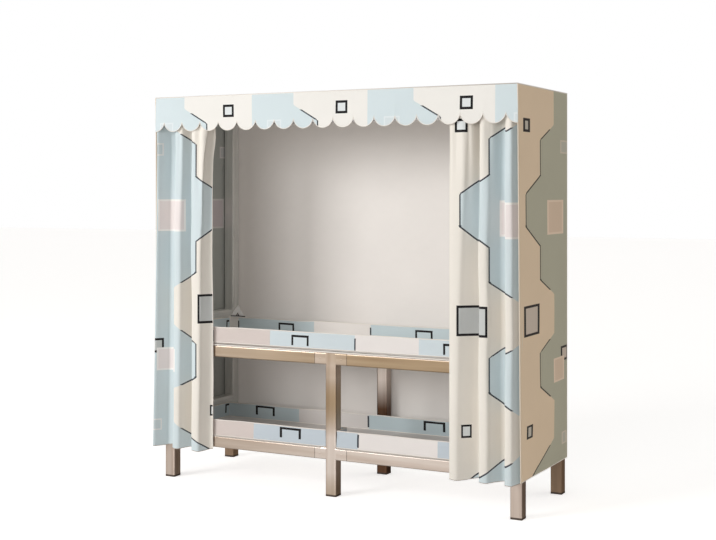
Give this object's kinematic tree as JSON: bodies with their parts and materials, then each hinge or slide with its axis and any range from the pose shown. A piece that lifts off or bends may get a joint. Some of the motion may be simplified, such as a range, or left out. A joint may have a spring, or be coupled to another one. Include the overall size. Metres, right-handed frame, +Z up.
{
  "type": "portable fabric wardrobe",
  "caption": "Free-standing fabric wardrobe: square steel tube frame, cloth cover with scalloped valance, draw curtains, hanging rod and low-walled cloth shelf trays.",
  "frame": {"origin": "on the floor, under the middle of the cover's bounding box", "axes": "+Z up, +X to the right along the front, +Y from the open front to the back"},
  "size_m": [1.712, 0.6, 1.7],
  "materials": {
    "steel_tube": "brushed, with a light champagne tint",
    "bright_metal": "polished",
    "foot_plastic": "matt moulded plastic",
    "cover_cloth": "printed plain-weave cloth, cream with pale blue bands",
    "valance_cloth": "printed plain-weave cloth with white piping",
    "curtain_cloth": "printed plain-weave cloth, cream with pale blue bands",
    "tray_cloth": "printed stiffened cloth with light piping"
  },
  "bodies": {
    "frame": {"post_front_left": "steel_tube", "post_front_right": "steel_tube", "post_back_left": "steel_tube", "post_back_right": "steel_tube", "centre_upright_front": "steel_tube", "centre_upright_back": "steel_tube", "rail_front_low_left": "steel_tube", "rail_front_low_right": "steel_tube", "rail_front_mid_left": "steel_tube", "rail_front_mid_right": "steel_tube", "rail_back_low_left": "steel_tube", "rail_back_low_right": "steel_tube", "rail_back_mid_left": "steel_tube", "rail_back_mid_right": "steel_tube", "rail_front_top": "steel_tube", "rail_back_top": "steel_tube", "rail_left_low": "steel_tube", "rail_right_low": "steel_tube", "rail_left_mid": "steel_tube", "rail_right_mid": "steel_tube", "rail_left_top": "steel_tube", "rail_right_top": "steel_tube", "cross_bar_low": "steel_tube", "cross_bar_mid": "steel_tube", "cross_bar_top": "steel_tube", "foot_front_left": "foot_plastic", "foot_front_right": "foot_plastic", "foot_front_centre": "foot_plastic", "foot_back_left": "foot_plastic", "foot_back_right": "foot_plastic", "foot_back_centre": "foot_plastic", "hanging_rod": "bright_metal", "hanging_rod_socket_left": "bright_metal", "hanging_rod_socket_right": "bright_metal", "curtain_rod": "bright_metal", "curtain_rod_bracket_left": "bright_metal", "curtain_rod_bracket_centre": "bright_metal", "curtain_rod_bracket_right": "bright_metal", "curtain_ring_left_1": "bright_metal", "curtain_ring_right_1": "bright_metal", "tray_low": "tray_cloth", "tray_mid": "tray_cloth", "cover_top": "cover_cloth", "cover_back": "cover_cloth", "cover_left": "cover_cloth", "cover_right": "cover_cloth", "valance": "valance_cloth"},
    "left_lead": {"curtain_ring_left_6": "bright_metal", "curtain_left": "curtain_cloth"},
    "left_ring_2": {"curtain_ring_left_2": "bright_metal"},
    "left_ring_3": {"curtain_ring_left_3": "bright_metal"},
    "left_ring_4": {"curtain_ring_left_4": "bright_metal"},
    "left_ring_5": {"curtain_ring_left_5": "bright_metal"},
    "right_lead": {"curtain_ring_right_6": "bright_metal", "curtain_right": "curtain_cloth"},
    "right_ring_2": {"curtain_ring_right_2": "bright_metal"},
    "right_ring_3": {"curtain_ring_right_3": "bright_metal"},
    "right_ring_4": {"curtain_ring_right_4": "bright_metal"},
    "right_ring_5": {"curtain_ring_right_5": "bright_metal"}
  },
  "joints": [
    {"name": "left_curtain_draw", "type": "slide", "parent": "frame", "child": "left_lead", "axis": [1, 0, 0], "range_m": [0, 0.5615], "deforming": ["curtain_left"]},
    {"name": "left_ring_2_slide", "type": "slide", "parent": "frame", "child": "left_ring_2", "axis": [1, 0, 0], "range_m": [0, 0.0955]},
    {"name": "left_ring_3_slide", "type": "slide", "parent": "frame", "child": "left_ring_3", "axis": [1, 0, 0], "range_m": [0, 0.2181]},
    {"name": "left_ring_4_slide", "type": "slide", "parent": "frame", "child": "left_ring_4", "axis": [1, 0, 0], "range_m": [0, 0.3435]},
    {"name": "left_ring_5_slide", "type": "slide", "parent": "frame", "child": "left_ring_5", "axis": [1, 0, 0], "range_m": [0, 0.4661]},
    {"name": "right_curtain_draw", "type": "slide", "parent": "frame", "child": "right_lead", "axis": [-1, 0, 0], "range_m": [0, 0.5615], "deforming": ["curtain_right"]},
    {"name": "right_ring_2_slide", "type": "slide", "parent": "frame", "child": "right_ring_2", "axis": [-1, 0, 0], "range_m": [0, 0.0955]},
    {"name": "right_ring_3_slide", "type": "slide", "parent": "frame", "child": "right_ring_3", "axis": [-1, 0, 0], "range_m": [0, 0.2181]},
    {"name": "right_ring_4_slide", "type": "slide", "parent": "frame", "child": "right_ring_4", "axis": [-1, 0, 0], "range_m": [0, 0.3435]},
    {"name": "right_ring_5_slide", "type": "slide", "parent": "frame", "child": "right_ring_5", "axis": [-1, 0, 0], "range_m": [0, 0.4661]}
  ],
  "couplings": [
    {"joint": "left_ring_2_slide", "follows": "left_curtain_draw", "ratio": 0.16996},
    {"joint": "left_ring_3_slide", "follows": "left_curtain_draw", "ratio": 0.38834},
    {"joint": "left_ring_4_slide", "follows": "left_curtain_draw", "ratio": 0.61166},
    {"joint": "left_ring_5_slide", "follows": "left_curtain_draw", "ratio": 0.83004},
    {"joint": "right_ring_2_slide", "follows": "right_curtain_draw", "ratio": 0.16996},
    {"joint": "right_ring_3_slide", "follows": "right_curtain_draw", "ratio": 0.38834},
    {"joint": "right_ring_4_slide", "follows": "right_curtain_draw", "ratio": 0.61166},
    {"joint": "right_ring_5_slide", "follows": "right_curtain_draw", "ratio": 0.83004}
  ]
}
